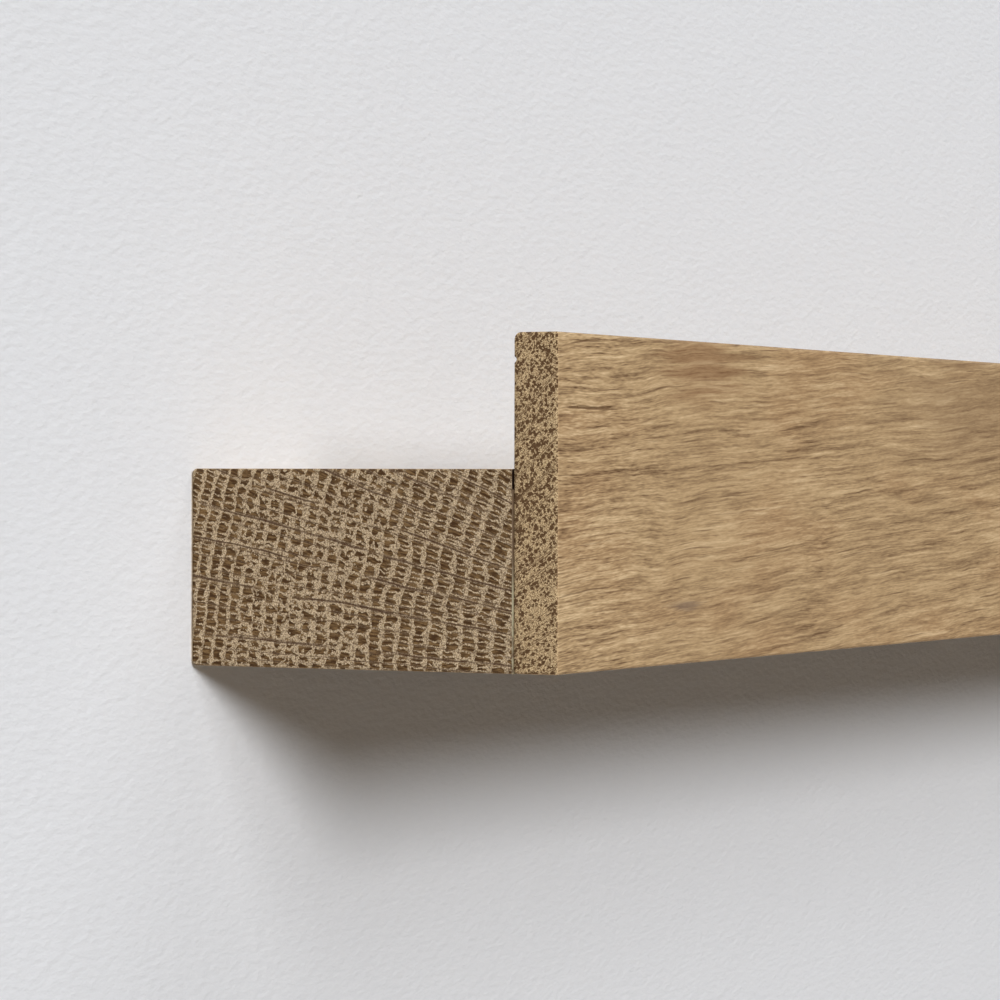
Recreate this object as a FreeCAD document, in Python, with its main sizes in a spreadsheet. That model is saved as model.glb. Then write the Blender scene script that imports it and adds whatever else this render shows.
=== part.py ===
import FreeCAD, Part
import math
import os

import Sketcher

# A picture ledge in solid oak that hangs flat on a wall. A thin upright lip is glued to the front of
# a rectangular shelf block, and two keyhole plates let into the block's back hang on two wall screws.
#
# Frame: the origin is the centre of the block's back face, which lies against the wall. +X runs along
# the ledge, to the right for someone who faces it. +Y goes into the wall. +Z is up.

# Driving sizes in millimetres: name, value, what it is.
SIZES = [
    ("ledge_length", 600, "block, glue line and lip, along X"),
    ("block_depth", 55, "from the wall to the glue line"),
    ("block_height", 30, "the block's height, where pictures stand on top"),
    ("block_ease", 0.8, "rounding of the block's two long edges at the wall"),
    ("glue_thickness", 0.2, "the glue line between block and lip"),
    ("glue_gap_length", 12, "the glue's starved corner at the left end, along X"),
    ("glue_gap_depth", 3, "the same corner, down from the block's top"),
    ("lip_thickness", 7.3, "the lip, front to back"),
    ("lip_height", 50, "the lip, from the block's underside up"),
    ("lip_back_ease", 1.1, "rounding of the lip's top edge on the picture side"),
    ("lip_front_ease", 0.4, "rounding of the lip's two front edges"),
    ("end_ease", 0.3, "easing of the edges round both sawn ends"),
    ("plate_offset", 200, "from the middle of the ledge to each keyhole plate"),
    ("plate_length", 44, "keyhole plate, along X"),
    ("plate_height", 20, "keyhole plate, along Z"),
    ("plate_thickness", 1.5, "sheet steel"),
    ("plate_corner", 3, "corner radius of the plate"),
    ("plate_depth", 0.2, "how far the plate's face lies below the block's back face"),
    ("recess_gap", 0.1, "room round the plate in its recess"),
    ("entry_radius", 4.75, "keyhole: the round opening that the screw head goes through"),
    ("entry_drop", 3.5, "keyhole: centre of the round opening, below the plate's middle"),
    ("slot_radius", 2.4, "keyhole: half the width of the slot"),
    ("slot_rise", 3.5, "keyhole: centre of the slot's top arc, above the plate's middle"),
    ("head_pocket_radius", 5.5, "room for the screw head behind the plate"),
    ("head_pocket_depth", 5.3, "the same, behind the plate's inner face"),
    ("fixing_spread", 16, "from the plate's middle to each of its fixing screws"),
    ("fixing_radius", 1.5, "plate screw: shank"),
    ("fixing_head_radius", 3, "plate screw: flat head"),
    ("fixing_length", 12, "plate screw: overall"),
    ("fixing_point", 2.5, "plate screw: length of the point"),
    ("fixing_gap", 0.02, "room round each plate screw in the wood and in the plate"),
    ("screw_radius", 2.25, "wall screw: shank"),
    ("screw_head_radius", 4, "wall screw: pan head"),
    ("screw_head_height", 2.6, "wall screw: pan head"),
    ("screw_head_round", 0.9, "wall screw: rounding of the head's outer edge"),
    ("screw_length", 40, "wall screw: under the head"),
    ("screw_point", 5, "wall screw: length of the point"),
    ("screw_stand_off", 0.3, "from the plate's inner face to the underside of the screw head"),
    ("hang_gap", 0.05, "between the top of the slot and the screw that it hangs on"),
    ("plug_radius", 3, "wall plug, outside"),
    ("plug_length", 30, "wall plug"),
    ("plug_depth", 0.5, "how far the plug's rim lies below the wall's surface"),
    ("plug_gap", 0.05, "between the plug's bore and the screw"),
    ("plug_slit_width", 0.8, "the slit that lets the plug spread"),
    ("plug_slit_length", 22, "the same, from the plug's far end"),
    ("cross_width", 1.1, "cross recess: width of each arm"),
    ("cross_share", 1.15, "cross recess: length of an arm, in head radii"),
    ("cross_depth", 1.2, "cross recess: depth"),
]

SIDES = {"left": -1, "right": 1}

# The height of both wall screws: the top of each slot rests on its screw.
HANG_HEIGHT = "sizes.slot_rise + sizes.slot_radius - sizes.screw_radius - sizes.hang_gap"

doc = FreeCAD.newDocument("picture_ledge")


# ---------------------------------------------------------------------------------------------- sheet


def make_sheet():
    """The spreadsheet that holds every driving size under its alias."""
    made = doc.addObject("Spreadsheet::Sheet", "sizes")
    for row, (alias, size, note) in enumerate(SIZES, 1):
        made.set(f"A{row}", alias)
        made.set(f"B{row}", str(size))
        made.set(f"C{row}", note)
        made.setAlias(f"B{row}", alias)
    doc.recompute()
    return made


sheet = make_sheet()


def number(expression):
    """What an expression over the sheet comes to, in millimetres."""
    return float(sheet.evalExpression(expression))


# ------------------------------------------------------------------------------------------- sketches


def new_body(label):
    """An empty PartDesign body that carries the sub-part's name."""
    made = doc.addObject("PartDesign::Body", label)
    made.Label = label
    return made


def new_sketch(body, name, role):
    """A sketch on one of the body's own origin planes."""
    plane = next(p for p in body.Origin.OriginFeatures if p.Role == role)
    made = body.newObject("Sketcher::SketchObject", name)
    made.AttachmentSupport = (plane, [""])
    made.MapMode = "FlatFace"
    return made


def dimension(sketch, kind, geometry, name, expression):
    """One dimension of a sketch, bound to the sheet."""
    index = sketch.addConstraint(Sketcher.Constraint(kind, *geometry, number(expression)))
    sketch.renameConstraint(index, name)
    sketch.setExpression(f"Constraints.{name}", expression)


def add_rectangle(sketch, name, left, bottom, width, height):
    """A rectangle from its lower left corner, with each size and place an expression over the sheet."""
    x0, y0 = number(left), number(bottom)
    x1, y1 = x0 + number(width), y0 + number(height)
    corners = [FreeCAD.Vector(x, y, 0) for x, y in ((x0, y0), (x1, y0), (x1, y1), (x0, y1))]
    sides = [
        sketch.addGeometry(Part.LineSegment(start, end), False)
        for start, end in zip(corners, corners[1:] + corners[:1])
    ]
    for side, after in zip(sides, sides[1:] + sides[:1]):
        sketch.addConstraint(Sketcher.Constraint("Coincident", side, 2, after, 1))
    for side, kind in zip(sides, ("Horizontal", "Vertical", "Horizontal", "Vertical")):
        sketch.addConstraint(Sketcher.Constraint(kind, side))
    dimension(sketch, "DistanceX", (-1, 1, sides[0], 1), name + "_left", left)
    dimension(sketch, "DistanceY", (-1, 1, sides[0], 1), name + "_bottom", bottom)
    dimension(sketch, "DistanceX", (sides[0], 1, sides[0], 2), name + "_width", width)
    dimension(sketch, "DistanceY", (sides[1], 1, sides[1], 2), name + "_height", height)


def add_arc(sketch, name, across, up, radius, start, end):
    """An arc about a dimensioned centre, from one angle to another, anticlockwise, in radians."""
    middle = FreeCAD.Vector(number(across), number(up), 0)
    circle = Part.Circle(middle, FreeCAD.Vector(0, 0, 1), number(radius))
    made = sketch.addGeometry(Part.ArcOfCircle(circle, start, end), False)
    dimension(sketch, "DistanceX", (-1, 1, made, 3), name + "_across", across)
    dimension(sketch, "DistanceY", (-1, 1, made, 3), name + "_up", up)
    dimension(sketch, "Radius", (made,), name + "_radius", radius)
    return made


def add_slot(sketch, name, across, low, low_radius, high, high_radius):
    """An upright slot. Its sides touch the upper arc, and the lower one too, unless that is wider, as in a
    keyhole."""
    x, half = number(across), number(high_radius)
    reach = math.acos(half / number(low_radius))
    shoulder = number(low) + number(low_radius) * math.sin(reach)
    top = number(high)
    lower = add_arc(sketch, name + "_low", across, low, low_radius, math.pi - reach, 2 * math.pi + reach)
    upper = add_arc(sketch, name + "_high", across, high, high_radius, 0, math.pi)

    def add_side(across, start, end):
        """One upright side of the slot."""
        line = Part.LineSegment(FreeCAD.Vector(across, start, 0), FreeCAD.Vector(across, end, 0))
        return sketch.addGeometry(line, False)

    right = add_side(x + half, shoulder, top)
    left = add_side(x - half, top, shoulder)
    sketch.addConstraint(Sketcher.Constraint("Tangent", right, 2, upper, 1))
    sketch.addConstraint(Sketcher.Constraint("Tangent", upper, 2, left, 1))
    if low_radius == high_radius:
        sketch.addConstraint(Sketcher.Constraint("Tangent", lower, 2, right, 1))
        sketch.addConstraint(Sketcher.Constraint("Tangent", left, 2, lower, 1))
    else:
        sketch.addConstraint(Sketcher.Constraint("Coincident", lower, 2, right, 1))
        sketch.addConstraint(Sketcher.Constraint("Coincident", left, 2, lower, 1))
        sketch.addConstraint(Sketcher.Constraint("Vertical", right))
        sketch.addConstraint(Sketcher.Constraint("Vertical", left))


def add_circle(sketch, name, across, up, radius):
    """A full circle about a dimensioned centre."""
    middle = FreeCAD.Vector(number(across), number(up), 0)
    made = sketch.addGeometry(Part.Circle(middle, FreeCAD.Vector(0, 0, 1), number(radius)), False)
    dimension(sketch, "DistanceX", (-1, 1, made, 3), name + "_across", across)
    dimension(sketch, "DistanceY", (-1, 1, made, 3), name + "_up", up)
    dimension(sketch, "Radius", (made,), name + "_radius", radius)


# ------------------------------------------------------------------------------------------- features


def pad(body, sketch, length, both_ways=False):
    """Extrudes a sketch along its normal, or half the length each way."""
    made = body.newObject("PartDesign::Pad", sketch.Name + "_pad")
    made.Profile = sketch
    made.setExpression("Length", length)
    if both_ways:
        made.SideType = "Symmetric"
    sketch.Visibility = False
    return made


def pocket(body, sketch, depth):
    """Cuts a sketch into the solid from the back plane towards -Y, and checks that it removed something."""
    doc.recompute()
    before = body.Shape.Volume
    made = body.newObject("PartDesign::Pocket", sketch.Name + "_pocket")
    made.Profile = sketch
    made.Reversed = True
    made.setExpression("Length", depth)
    doc.recompute()
    if not made.Shape.Volume < before:
        raise RuntimeError(f"{sketch.Name} cuts nothing")
    return made


def round_edges(body, name, radius, wanted):
    """Rounds those edges of the body that pass a test on their bounding box."""
    doc.recompute()
    base = body.Tip
    found = [f"Edge{i}" for i, edge in enumerate(base.Shape.Edges, 1) if wanted(edge.BoundBox)]
    if not found:
        raise RuntimeError(f"{name} found no edge")
    made = body.newObject("PartDesign::Fillet", name)
    made.Base = (base, found)
    made.setExpression("Radius", radius)
    doc.recompute()
    return made


def near(a, b):
    """Whether two lengths are the same within a hundredth of a millimetre."""
    return abs(a - b) < 0.01


def lies_on(low, high, place):
    """Whether an edge's whole extent along one axis is at one place."""
    return near(low, place) and near(high, place)


def place(piece, across="0", back="0", up="0"):
    """Puts a sub-part where expressions over the sheet say."""
    for axis, expression in (("x", across), ("y", back), ("z", up)):
        piece.setExpression(f"Placement.Base.{axis}", expression)
    return piece


# ---------------------------------------------------------------------------------------------- wood


def recess_plates(body):
    """Lets the two keyhole plates, the screw heads behind them and their fixing screws into the block."""
    recess = new_sketch(body, "plate_recess", "XZ_Plane")
    heads = new_sketch(body, "head_pocket", "XZ_Plane")
    holes = new_sketch(body, "fixing_holes", "XZ_Plane")
    for side, sign in SIDES.items():
        middle = f"{sign} * sizes.plate_offset"
        add_rectangle(
            recess,
            side,
            f"{middle} - sizes.plate_length / 2 - sizes.recess_gap",
            "-sizes.plate_height / 2 - sizes.recess_gap",
            "sizes.plate_length + 2 * sizes.recess_gap",
            "sizes.plate_height + 2 * sizes.recess_gap",
        )
        add_slot(
            heads,
            side,
            middle,
            "-sizes.entry_drop",
            "sizes.head_pocket_radius",
            "sizes.slot_rise",
            "sizes.head_pocket_radius",
        )
        for end in (-1, 1):
            add_circle(
                holes,
                f"{side}_{'outer' if end == sign else 'inner'}",
                f"{middle} + {end} * sizes.fixing_spread",
                "0",
                "sizes.fixing_radius + sizes.fixing_gap",
            )
    sink = "sizes.plate_depth + sizes.plate_thickness"
    pocket(body, recess, sink)
    half_length = number("sizes.plate_length / 2 + sizes.recess_gap")
    half_height = number("sizes.plate_height / 2 + sizes.recess_gap")
    offset = number("sizes.plate_offset")

    def is_recess_corner(box):
        """A short edge along Y at one corner of either recess."""
        from_middle = abs(abs(box.Center.x) - offset)
        return (
            near(box.YLength, number(sink))
            and near(from_middle, half_length)
            and near(abs(box.Center.z), half_height)
        )

    round_edges(body, "recess_corners", "sizes.plate_corner + sizes.recess_gap", is_recess_corner)
    pocket(body, heads, f"{sink} + sizes.head_pocket_depth")
    pocket(body, holes, "sizes.plate_depth + sizes.fixing_length + sizes.fixing_gap")


def make_shelf_block():
    """The rectangular block that pictures stand on, with its back face on the wall."""
    body = new_body("shelf_block")
    profile = new_sketch(body, "block_profile", "YZ_Plane")
    add_rectangle(
        profile,
        "block",
        "-sizes.block_depth",
        "-sizes.block_height / 2",
        "sizes.block_depth",
        "sizes.block_height",
    )
    pad(body, profile, "sizes.ledge_length", both_ways=True)
    half_length = number("sizes.ledge_length / 2")
    half_height = number("sizes.block_height / 2")
    front = number("-sizes.block_depth")
    round_edges(
        body,
        "wall_edges",
        "sizes.block_ease",
        lambda box: lies_on(box.YMin, box.YMax, 0) and near(abs(box.Center.z), half_height),
    )
    round_edges(
        body,
        "end_edges",
        "sizes.end_ease",
        lambda box: near(abs(box.Center.x), half_length)
        and box.XLength < 0.01
        and not lies_on(box.YMin, box.YMax, front),
    )
    recess_plates(body)
    return body


def make_glue_line():
    """The film of glue between block and lip. It is starved at the top of the left end."""
    body = new_body("glue_line")
    profile = new_sketch(body, "glue_profile", "YZ_Plane")
    add_rectangle(profile, "film", "-sizes.glue_thickness", "0", "sizes.glue_thickness", "sizes.block_height")
    pad(body, profile, "sizes.ledge_length", both_ways=True)
    starved = new_sketch(body, "glue_gap", "XZ_Plane")
    add_rectangle(
        starved,
        "gap",
        "-sizes.ledge_length / 2",
        "sizes.block_height - sizes.glue_gap_depth",
        "sizes.glue_gap_length",
        "sizes.glue_gap_depth",
    )
    pocket(body, starved, "sizes.glue_thickness")
    return place(body, back="-sizes.block_depth", up="-sizes.block_height / 2")


def make_front_lip():
    """The thin upright board on the front, flush with the block's underside."""
    body = new_body("front_lip")
    profile = new_sketch(body, "lip_profile", "YZ_Plane")
    add_rectangle(profile, "lip", "-sizes.lip_thickness", "0", "sizes.lip_thickness", "sizes.lip_height")
    pad(body, profile, "sizes.ledge_length", both_ways=True)
    half_length = number("sizes.ledge_length / 2")
    top = number("sizes.lip_height")
    front = number("-sizes.lip_thickness")
    round_edges(
        body,
        "picture_side_edge",
        "sizes.lip_back_ease",
        lambda box: lies_on(box.YMin, box.YMax, 0) and lies_on(box.ZMin, box.ZMax, top),
    )
    round_edges(
        body,
        "front_edges",
        "sizes.lip_front_ease",
        lambda box: lies_on(box.YMin, box.YMax, front) and box.ZLength < 0.01,
    )
    round_edges(
        body,
        "end_edges",
        "sizes.end_ease",
        lambda box: near(abs(box.Center.x), half_length)
        and box.XLength < 0.01
        and not lies_on(box.YMin, box.YMax, 0),
    )
    return place(body, back="-sizes.block_depth - sizes.glue_thickness", up="-sizes.block_height / 2")


# --------------------------------------------------------------------------------------------- plates


def make_keyhole_plate(side, sign):
    """A steel plate with a keyhole across its middle and a countersunk hole at each end."""
    label = f"keyhole_plate_{side}"
    body = new_body(label)
    outline = new_sketch(body, f"{label}_outline", "XZ_Plane")
    add_rectangle(
        outline,
        "plate",
        "-sizes.plate_length / 2",
        "-sizes.plate_height / 2",
        "sizes.plate_length",
        "sizes.plate_height",
    )
    add_slot(
        outline,
        "keyhole",
        "0",
        "-sizes.entry_drop",
        "sizes.entry_radius",
        "sizes.slot_rise",
        "sizes.slot_radius",
    )
    pad(body, outline, "sizes.plate_thickness")
    half_length = number("sizes.plate_length / 2")
    thickness = number("sizes.plate_thickness")
    round_edges(
        body,
        f"{label}_corners",
        "sizes.plate_corner",
        lambda box: near(abs(box.Center.x), half_length) and near(box.YLength, thickness),
    )
    for end, word in ((-1, "low"), (1, "high")):
        centres = new_sketch(body, f"{label}_{word}_hole", "XZ_Plane")
        add_circle(
            centres,
            "hole",
            f"{end} * sizes.fixing_spread",
            "0",
            "sizes.fixing_radius + sizes.fixing_gap",
        )
        doc.recompute()
        before = body.Shape.Volume
        hole = body.newObject("PartDesign::Hole", f"{label}_{word}_countersink")
        hole.Profile = centres
        hole.Reversed = True
        hole.DepthType = "ThroughAll"
        hole.setExpression("Diameter", "2 * (sizes.fixing_radius + sizes.fixing_gap)")
        hole.HoleCutType = "Countersink"
        hole.HoleCutCustomValues = True
        hole.setExpression("HoleCutDiameter", "2 * (sizes.fixing_head_radius + sizes.fixing_gap)")
        hole.HoleCutCountersinkAngle = 90
        doc.recompute()
        if not hole.Shape.Volume < before:
            raise RuntimeError(f"{hole.Name} cuts nothing")
    return place(body, across=f"{sign} * sizes.plate_offset", back="-sizes.plate_depth")


# --------------------------------------------------------------------------------------------- screws


def primitive(kind, name, **expressions):
    """A Part primitive whose sizes are bound to the sheet."""
    made = doc.addObject(kind, name)
    for key, expression in expressions.items():
        made.setExpression(key, expression)
    return made


def along_y(piece, start):
    """Turns a piece that grows along Z so that it grows along +Y, from a place on the Y axis."""
    piece.Placement.Rotation = FreeCAD.Rotation(FreeCAD.Vector(1, 0, 0), -90)
    piece.setExpression("Placement.Base.y", start)
    return piece


def fuse(name, pieces):
    """Joins overlapping pieces into one solid with no seams."""
    made = doc.addObject("Part::MultiFuse", name)
    made.Shapes = pieces
    made.Refine = True
    return made


def cut(name, base, tool):
    """Takes a tool away from a base."""
    made = doc.addObject("Part::Cut", name)
    made.Base = base
    made.Tool = tool
    return made


def cross_recess(name, head_radius, face):
    """Two crossed bars, which cut a cross recess into a head whose outer face is at a place on the Y axis."""
    reach = f"{head_radius} * sizes.cross_share"
    width = "sizes.cross_width"
    bars = []
    for word, length, height in (("flat", reach, width), ("upright", width, reach)):
        bar = primitive(
            "Part::Box",
            f"{name}_{word}",
            Length=length,
            Width="sizes.cross_depth",
            Height=height,
        )
        place(bar, f"-({length}) / 2", face, f"-({height}) / 2")
        bars.append(bar)
    return fuse(name, bars)


def make_plate_screw(label, across):
    """A countersunk wood screw. Its flat head lies flush in the plate, and its point is in the wood."""
    head_height = "(sizes.fixing_head_radius - sizes.fixing_radius)"
    head = primitive(
        "Part::Cone",
        f"{label}_head",
        Radius1="sizes.fixing_radius",
        Radius2="sizes.fixing_head_radius",
        Height=head_height,
    )
    shank = primitive(
        "Part::Cylinder",
        f"{label}_shank",
        Radius="sizes.fixing_radius",
        Height=f"sizes.fixing_length - {head_height} - sizes.fixing_point",
    )
    point = primitive(
        "Part::Cone",
        f"{label}_point",
        Radius1="0",
        Radius2="sizes.fixing_radius",
        Height="sizes.fixing_point",
    )
    along_y(head, f"-{head_height}")
    along_y(shank, "sizes.fixing_point - sizes.fixing_length")
    along_y(point, "-sizes.fixing_length")
    solid = fuse(f"{label}_solid", [head, shank, point])
    recess = cross_recess(f"{label}_recess", "sizes.fixing_head_radius", "-sizes.cross_depth")
    made = cut(label, solid, recess)
    made.Label = label
    return place(made, across=across, back="-sizes.plate_depth")


def make_wall_screw(side, sign):
    """A pan-head screw. The ledge's slot hangs on its shank, and its head is caught behind the plate."""
    label = f"wall_screw_{side}"
    head = primitive(
        "Part::Cylinder",
        f"{label}_head",
        Radius="sizes.screw_head_radius",
        Height="sizes.screw_head_height",
    )
    shank = primitive(
        "Part::Cylinder",
        f"{label}_shank",
        Radius="sizes.screw_radius",
        Height="sizes.screw_length - sizes.screw_point",
    )
    point = primitive(
        "Part::Cone",
        f"{label}_point",
        Radius1="sizes.screw_radius",
        Radius2="0",
        Height="sizes.screw_point",
    )
    along_y(head, "-sizes.screw_head_height")
    along_y(shank, "0")
    along_y(point, "sizes.screw_length - sizes.screw_point")
    doc.recompute()
    rounded = doc.addObject("Part::Fillet", f"{label}_rounded_head")
    rounded.Base = head
    rounded.Edges = [
        (i, number("sizes.screw_head_round"), number("sizes.screw_head_round"))
        for i, edge in enumerate(head.Shape.Edges, 1)
        if lies_on(edge.BoundBox.YMin, edge.BoundBox.YMax, number("-sizes.screw_head_height"))
    ]
    solid = fuse(f"{label}_solid", [rounded, shank, point])
    recess = cross_recess(f"{label}_recess", "sizes.screw_head_radius", "-sizes.screw_head_height")
    made = cut(label, solid, recess)
    made.Label = label
    return place(
        made,
        across=f"{sign} * sizes.plate_offset",
        back="-sizes.plate_depth - sizes.plate_thickness - sizes.screw_stand_off",
        up=HANG_HEIGHT,
    )


def make_wall_plug(side, sign):
    """A nylon plug that the wall grips. A slit from its far end lets the screw spread it."""
    label = f"wall_plug_{side}"
    outside = primitive(
        "Part::Cylinder",
        f"{label}_outside",
        Radius="sizes.plug_radius",
        Height="sizes.plug_length",
    )
    bore = primitive(
        "Part::Cylinder",
        f"{label}_bore",
        Radius="sizes.screw_radius + sizes.plug_gap",
        Height="sizes.plug_length",
    )
    slit = primitive(
        "Part::Box",
        f"{label}_slit",
        Length="sizes.plug_slit_width",
        Width="sizes.plug_slit_length",
        Height="2 * sizes.plug_radius",
    )
    along_y(outside, "0")
    along_y(bore, "0")
    place(
        slit,
        "-sizes.plug_slit_width / 2",
        "sizes.plug_length - sizes.plug_slit_length",
        "-sizes.plug_radius",
    )
    made = cut(label, outside, fuse(f"{label}_hollow", [bore, slit]))
    made.Label = label
    return place(made, across=f"{sign} * sizes.plate_offset", back="sizes.plug_depth", up=HANG_HEIGHT)


def make_all():
    """Every sub-part of the ledge, in the order that it is put together."""
    made = [make_shelf_block(), make_glue_line(), make_front_lip()]
    for side, sign in SIDES.items():
        made.append(make_keyhole_plate(side, sign))
        for end in (-1, 1):
            word = "outer" if end == sign else "inner"
            across = f"{sign} * sizes.plate_offset + {end} * sizes.fixing_spread"
            made.append(make_plate_screw(f"plate_screw_{side}_{word}", across))
        made.append(make_wall_screw(side, sign))
        made.append(make_wall_plug(side, sign))
    return made


def write_all(pieces):
    """Writes one STEP file for each sub-part, once every feature is known to be sound."""
    doc.recompute()
    for feature in doc.Objects:
        if {"Invalid", "Error"} & set(feature.State):
            raise RuntimeError(f"{feature.Name} failed: {feature.State}")
    for piece in pieces:
        if piece.Shape.isNull() or not piece.Shape.isValid() or len(piece.Shape.Solids) != 1:
            raise RuntimeError(f"{piece.Label} isn't one valid solid")
    os.makedirs("parts", exist_ok=True)
    for piece in pieces:
        piece.Shape.exportStep(f"parts/{piece.Label}.step")
        box = piece.Shape.BoundBox
        print(
            f"{piece.Label}: {piece.Shape.Volume:.1f} mm3,"
            f" x {box.XMin:.2f} to {box.XMax:.2f}, y {box.YMin:.2f} to {box.YMax:.2f},"
            f" z {box.ZMin:.2f} to {box.ZMax:.2f}"
        )


write_all(make_all())
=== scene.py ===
import math

import bmesh
import bpy
from mathutils import Matrix, Vector, noise


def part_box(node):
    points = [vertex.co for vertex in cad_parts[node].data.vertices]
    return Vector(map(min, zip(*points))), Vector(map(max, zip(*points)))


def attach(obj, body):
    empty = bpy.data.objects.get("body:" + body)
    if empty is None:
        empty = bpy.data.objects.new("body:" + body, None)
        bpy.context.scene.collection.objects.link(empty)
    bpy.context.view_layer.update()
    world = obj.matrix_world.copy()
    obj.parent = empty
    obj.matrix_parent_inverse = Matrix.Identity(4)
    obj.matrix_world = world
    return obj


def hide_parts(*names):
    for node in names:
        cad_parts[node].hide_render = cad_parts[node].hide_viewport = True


# The looks of a solid oak picture ledge on a white wall. Lengths are in metres, and MM makes them readable.
MM = 0.001

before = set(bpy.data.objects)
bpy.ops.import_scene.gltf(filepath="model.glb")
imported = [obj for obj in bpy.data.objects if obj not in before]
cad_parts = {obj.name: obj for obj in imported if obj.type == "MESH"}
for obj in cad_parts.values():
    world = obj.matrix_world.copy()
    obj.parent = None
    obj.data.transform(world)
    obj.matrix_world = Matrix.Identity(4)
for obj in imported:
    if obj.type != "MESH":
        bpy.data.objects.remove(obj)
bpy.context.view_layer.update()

block_low, block_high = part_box("shelf_block")
lip_low, lip_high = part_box("front_lip")


# ------------------------------------------------------------------------------------- shader graphs


def srgb(red, green, blue):
    """A colour as shown on screen, 0 to 255, as the linear RGBA that shaders take."""
    shares = [channel / 255 for channel in (red, green, blue)]
    linear = [s / 12.92 if s <= 0.04045 else ((s + 0.055) / 1.055) ** 2.4 for s in shares]
    return (*linear, 1.0)


class Graph:
    """A material's nodes, written as nested calls. Each method adds a node and gives its output socket."""

    def __init__(self, name):
        self.material = bpy.data.materials.new(name)
        self.material.use_nodes = True
        self.tree = self.material.node_tree
        self.tree.nodes.clear()

    def feed(self, socket, value):
        """Links a socket to another one, or sets it to a plain value."""
        if isinstance(value, bpy.types.NodeSocket):
            self.tree.links.new(value, socket)
        else:
            socket.default_value = value

    def node(self, kind, inputs=None, **settings):
        """One node, with its settings, and its inputs by name or index."""
        made = self.tree.nodes.new(kind)
        for key, value in settings.items():
            setattr(made, key, value)
        for key, value in (inputs or {}).items():
            self.feed(made.inputs[key], value)
        return made

    def math(self, operation, *values):
        made = self.node("ShaderNodeMath", operation=operation)
        for socket, value in zip(made.inputs, values):
            self.feed(socket, value)
        return made.outputs[0]

    def add(self, a, b):
        return self.math("ADD", a, b)

    def sub(self, a, b):
        return self.math("SUBTRACT", a, b)

    def mul(self, a, b):
        return self.math("MULTIPLY", a, b)

    def either(self, a, b):
        return self.math("MAXIMUM", a, b)

    def opposite(self, a):
        return self.math("SUBTRACT", 1.0, a)

    def ramp(self, value, low, high):
        """A soft step from 0 at low to 1 at high. It falls where low is above high."""
        inputs = {"Value": value, "From Min": low, "From Max": high}
        return self.node("ShaderNodeMapRange", inputs, interpolation_type="SMOOTHSTEP").outputs[0]

    def line(self, value, low, high):
        """A straight rise from 0 at low to 1 at high."""
        return self.node("ShaderNodeMapRange", {"Value": value, "From Min": low, "From Max": high}).outputs[0]

    def weigh(self, *parts):
        """Adds up numbers about 0.5, each by its weight, to a number about 0.5."""
        total = 0.5
        for weight, value in parts:
            total = self.add(total, self.mul(self.sub(value, 0.5), weight))
        return total

    def span(self, value, low, high):
        """Carries 0 to 1 over to low to high."""
        return self.node("ShaderNodeMapRange", {"Value": value, "To Min": low, "To Max": high}).outputs[0]

    def place(self, per_metre=1 / MM):
        """Where a point lies on the object, in millimetres unless another unit is given."""
        position = self.node("ShaderNodeTexCoord").outputs["Object"]
        return self.node("ShaderNodeVectorMath", {0: position, 3: per_metre}, operation="SCALE").outputs[0]

    def facing(self):
        """Which way the surface faces, along each axis."""
        return self.split(self.node("ShaderNodeTexCoord").outputs["Normal"])

    def vector(self, x, y, z):
        return self.node("ShaderNodeCombineXYZ", {0: x, 1: y, 2: z}).outputs[0]

    def split(self, vector):
        return self.node("ShaderNodeSeparateXYZ", {0: vector}).outputs[:3]

    def noise(self, vector, detail=2.0, roughness=0.5):
        """Smooth noise about 0.5, with features about one unit across."""
        inputs = {"Vector": vector, "Scale": 1.0, "Detail": detail, "Roughness": roughness}
        return self.node("ShaderNodeTexNoise", inputs).outputs["Fac"]

    def cells(self, vector, output="Distance"):
        """Voronoi cells about one unit across."""
        return self.node("ShaderNodeTexVoronoi", {"Vector": vector, "Scale": 1.0}).outputs[output]

    def gaps(self, place):
        """Distance, in cells, to the nearest of a random row of lines along one coordinate."""
        inputs = {"W": place, "Scale": 1.0}
        settings = {"voronoi_dimensions": "1D", "feature": "DISTANCE_TO_EDGE"}
        return self.node("ShaderNodeTexVoronoi", inputs, **settings).outputs["Distance"]

    def blend(self, share, a, b):
        """A number between a and b."""
        return self.node("ShaderNodeMix", {0: share, 2: a, 3: b}, data_type="FLOAT").outputs[0]

    def tint(self, share, a, b):
        """A colour between a and b."""
        return self.node("ShaderNodeMix", {0: share, 6: a, 7: b}, data_type="RGBA").outputs[2]

    def bump(self, height, depth):
        """A normal from a height of 0 to 1 that stands for a depth in metres."""
        return self.node("ShaderNodeBump", {"Height": height, "Distance": depth, "Strength": 1.0}).outputs[0]

    def finish(self, shader):
        self.node("ShaderNodeOutputMaterial", {"Surface": shader})
        return self.material

    def finish_mixed(self, share, a, b):
        """Closes the material with shader a where the share is 0, and shader b where it is 1."""
        return self.finish(self.node("ShaderNodeMixShader", {0: share, 1: a, 2: b}).outputs[0])

    def surface(self, colour, roughness, normal=None, **plain):
        """Closes the material with a Principled surface. Plain settings go on the shader's own sockets."""
        inputs = {"Base Color": colour, "Roughness": roughness, **plain}
        if normal is not None:
            inputs["Normal"] = normal
        return self.finish(self.node("ShaderNodeBsdfPrincipled", inputs).outputs[0])


# ---------------------------------------------------------------------------------------------- oak


CRACK_HEIGHT_MM = 24.1  # where the hairline crack runs in the lip's front, as a dark line and as a groove
GRAIN_DEPTH = 0.05 * MM


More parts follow.
